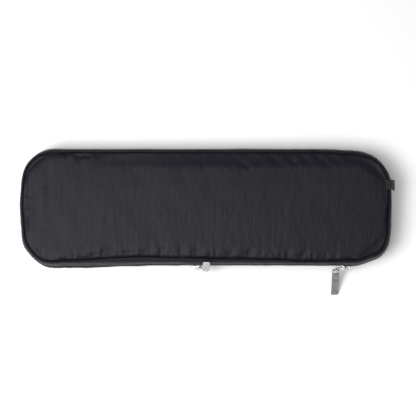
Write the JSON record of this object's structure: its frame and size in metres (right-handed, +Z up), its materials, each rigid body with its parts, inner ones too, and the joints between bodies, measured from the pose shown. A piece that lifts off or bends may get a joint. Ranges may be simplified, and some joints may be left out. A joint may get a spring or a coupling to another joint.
{
  "type": "headphone carrying case",
  "caption": "Long flat soft zip case in crinkled nylon: two padded half shells on a fabric spine, a coil zipper with two sliders and flat metal pulls, and a webbing tab.",
  "frame": {"origin": "centre of the underside of the closed case, without the pull plates and the tab", "axes": "+X along the case's length to the end with the webbing tab, -Y to the zipper front, +Y to the spine, +Z up"},
  "size_m": [0.3735, 0.1457, 0.047],
  "materials": {
    "outer_nylon": "crinkled nylon with a soft sheen",
    "webbing": "woven, matte",
    "coil": "satin nylon coil",
    "foam": "closed-cell foam board",
    "lining": "brushed tricot",
    "mesh": "knitted mesh",
    "nickel": "bright nickel",
    "satin_metal": "satin nickel"
  },
  "bodies": {
    "base": {"bottom_panel": "outer_nylon", "bottom_foam": "foam", "bottom_lining": "lining", "base_gusset": "outer_nylon", "spine_lower": "outer_nylon", "base_wall_lining": "lining", "base_seam_binding": "webbing", "base_zipper_tape": "webbing", "base_zipper_coil": "coil", "zipper_end_stop_left": "webbing", "zipper_end_stop_right": "webbing", "spine_hinge_tape": "webbing"},
    "lid": {"top_panel": "outer_nylon", "top_foam": "foam", "top_lining": "lining", "lid_gusset": "outer_nylon", "spine_upper": "outer_nylon", "lid_wall_lining": "lining", "lid_seam_binding": "webbing", "lid_zipper_tape": "webbing", "lid_zipper_coil": "coil", "webbing_tab": "webbing", "mesh_pocket": "mesh", "pocket_elastic": "webbing"},
    "slider_mid": {"slider_mid": "nickel"},
    "slider_right": {"slider_right": "nickel"},
    "link_mid": {"link_mid": "nickel"},
    "link_right": {"link_right": "nickel"},
    "pull_mid": {"pull_mid": "satin_metal"},
    "pull_right": {"pull_right": "satin_metal"}
  },
  "joints": [
    {"name": "lid_hinge", "type": "hinge", "parent": "base", "child": "lid", "pos_m": [0, 0.059, 0.018], "axis": [-1, 0, 0], "range_deg": [0, 176], "deforming": ["spine_hinge_tape"]},
    {"name": "slider_mid_travel", "type": "slide", "parent": "base", "child": "slider_mid", "axis": [1, 0, 0], "range_m": [-0.128, 0.046]},
    {"name": "slider_right_travel", "type": "slide", "parent": "base", "child": "slider_right", "axis": [1, 0, 0], "range_m": [-0.073, 0.001]},
    {"name": "link_mid_swing", "type": "hinge", "parent": "slider_mid", "child": "link_mid", "pos_m": [-0.01, -0.06095, 0.018], "axis": [0, 0, -1], "range_deg": [0, 100]},
    {"name": "link_right_swing", "type": "hinge", "parent": "slider_right", "child": "link_right", "pos_m": [0.139, -0.06095, 0.018], "axis": [0, 0, 1], "range_deg": [0, 100]},
    {"name": "pull_mid_flip", "type": "hinge", "parent": "link_mid", "child": "pull_mid", "pos_m": [0, -0.06285, 0.018], "axis": [-1, 0, 0], "range_deg": [-192, 0]},
    {"name": "pull_right_flip", "type": "hinge", "parent": "link_right", "child": "pull_right", "pos_m": [0.129, -0.06285, 0.018], "axis": [-1, 0, 0], "range_deg": [-54, 138]}
  ]
}
